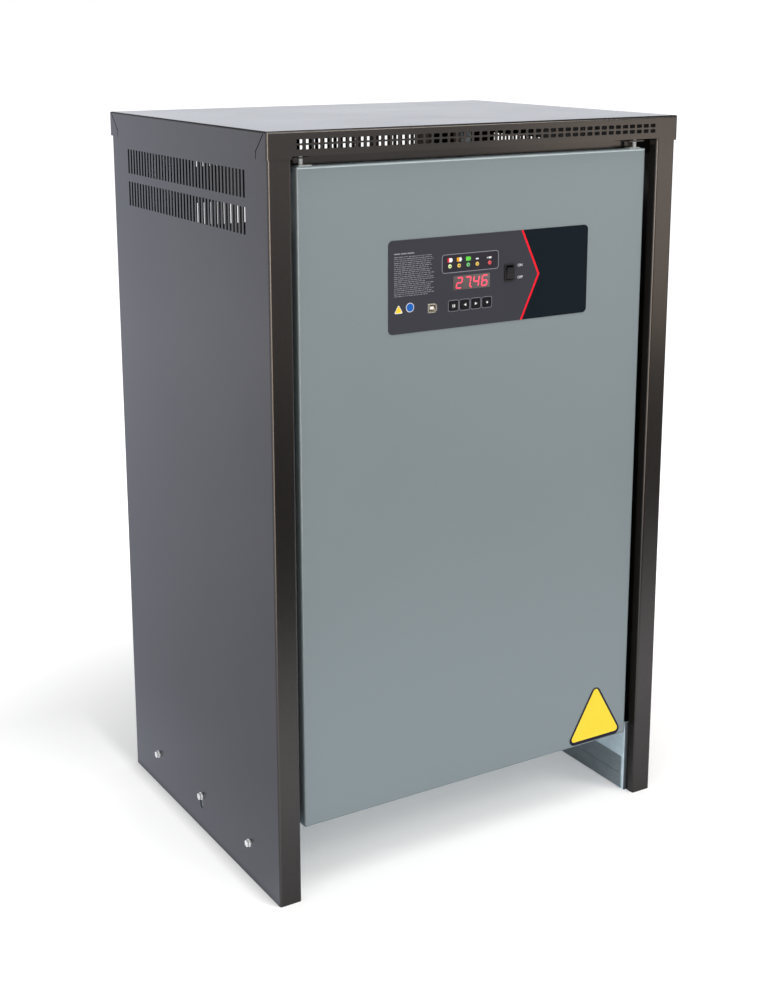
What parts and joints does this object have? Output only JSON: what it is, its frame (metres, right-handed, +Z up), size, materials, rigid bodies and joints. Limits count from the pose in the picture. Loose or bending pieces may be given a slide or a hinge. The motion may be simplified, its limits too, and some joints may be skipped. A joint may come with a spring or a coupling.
{
  "type": "forklift battery charger",
  "caption": "Floor-standing battery charger: tall sheet-metal cabinet with vented sides, lipped top cover, recessed front panel with display, lamps, keys and power switch, and a plated base.",
  "frame": {"origin": "on the floor, at the middle of the cabinet's footprint", "axes": "+Z up, +X to the right as seen from the front, the front panel faces -Y"},
  "size_m": [0.6008, 0.462, 0.95],
  "materials": {
    "cabinet_paint": "fine-textured anthracite powder coat",
    "panel_paint": "smooth satin grey powder coat",
    "zinc_sheet": "bright zinc-coated sheet",
    "dark_zinc": "dull zinc-coated sheet",
    "plated_steel": "zinc-plated fasteners",
    "overlay_film": "matt printed polyester film",
    "display_window": "clear tinted plastic",
    "lamp_pale_green": "moulded lens",
    "lamp_yellow": "moulded lens",
    "lamp_green": "moulded lens",
    "lamp_red": "moulded lens",
    "switch_black": "moulded black plastic",
    "key_plastic": "matt dark key film",
    "port_metal": "drawn shell",
    "port_insulator": "moulded insulator",
    "board_green": "solder-masked board",
    "black_plastic": "moulded polyamide",
    "core_varnish": "varnished laminations",
    "coil_varnish": "varnished winding and wrap",
    "copper_bar": "rolled copper",
    "sink_aluminium": "extruded",
    "fuse_holder": "moulded base",
    "fuse_ceramic": "glazed body with end caps",
    "terminal_plastic": "moulded terminal"
  },
  "bodies": {
    "cabinet": {"left_side_panel": "cabinet_paint", "right_side_panel": "cabinet_paint", "top_cover": "cabinet_paint", "rear_panel": "cabinet_paint", "front_cross_rail": "cabinet_paint", "rear_cross_rail": "cabinet_paint", "cover_brackets": "cabinet_paint", "front_panel": "panel_paint", "base_frame": "zinc_sheet", "lower_core_clamps": "zinc_sheet", "upper_core_clamps": "zinc_sheet", "left_upright": "zinc_sheet", "right_upright": "zinc_sheet", "component_plate": "zinc_sheet", "left_foot_channel": "dark_zinc", "right_foot_channel": "dark_zinc", "front_panel_pins": "plated_steel", "front_panel_screws": "plated_steel", "rear_panel_screws": "plated_steel", "side_panel_screws": "plated_steel", "cover_nuts": "plated_steel", "board_spacers": "plated_steel", "clamp_bolts": "plated_steel", "earth_stud": "plated_steel", "control_overlay": "overlay_film", "display_window": "display_window", "lamp_1": "lamp_pale_green", "lamp_2": "lamp_yellow", "lamp_4": "lamp_yellow", "lamp_3": "lamp_green", "lamp_5": "lamp_red", "switch_bezel": "switch_black", "data_port_shell": "port_metal", "data_port_contacts": "port_insulator", "control_board": "board_green", "display_module": "board_green", "key_contacts": "black_plastic", "rectifier_modules": "black_plastic", "contactor": "black_plastic", "mains_gland": "black_plastic", "mains_gland_nut": "black_plastic", "charge_gland": "black_plastic", "charge_gland_nut": "black_plastic", "transformer_core": "core_varnish", "left_coil": "coil_varnish", "middle_coil": "coil_varnish", "right_coil": "coil_varnish", "busbars": "copper_bar", "heat_sink": "sink_aluminium", "fuse_base": "fuse_holder", "fuse_links": "fuse_ceramic", "mains_terminals": "terminal_plastic"},
    "paddle": {"switch_paddle": "switch_black"},
    "first_key": {"key_1": "key_plastic"},
    "second_key": {"key_2": "key_plastic"},
    "third_key": {"key_3": "key_plastic"},
    "fourth_key": {"key_4": "key_plastic"}
  },
  "joints": [
    {"name": "switch_rock", "type": "hinge", "parent": "cabinet", "child": "paddle", "pos_m": [0.04135, -0.2192, 0.7646], "axis": [1, 0, 0], "range_deg": [-16, 0]},
    {"name": "first_key_press", "type": "slide", "parent": "cabinet", "child": "first_key", "axis": [0, 1, 0], "range_m": [0, 0.0008], "stiffness_N_per_m": 1500},
    {"name": "second_key_press", "type": "slide", "parent": "cabinet", "child": "second_key", "axis": [0, 1, 0], "range_m": [0, 0.0008], "stiffness_N_per_m": 1500},
    {"name": "third_key_press", "type": "slide", "parent": "cabinet", "child": "third_key", "axis": [0, 1, 0], "range_m": [0, 0.0008], "stiffness_N_per_m": 1500},
    {"name": "fourth_key_press", "type": "slide", "parent": "cabinet", "child": "fourth_key", "axis": [0, 1, 0], "range_m": [0, 0.0008], "stiffness_N_per_m": 1500}
  ]
}
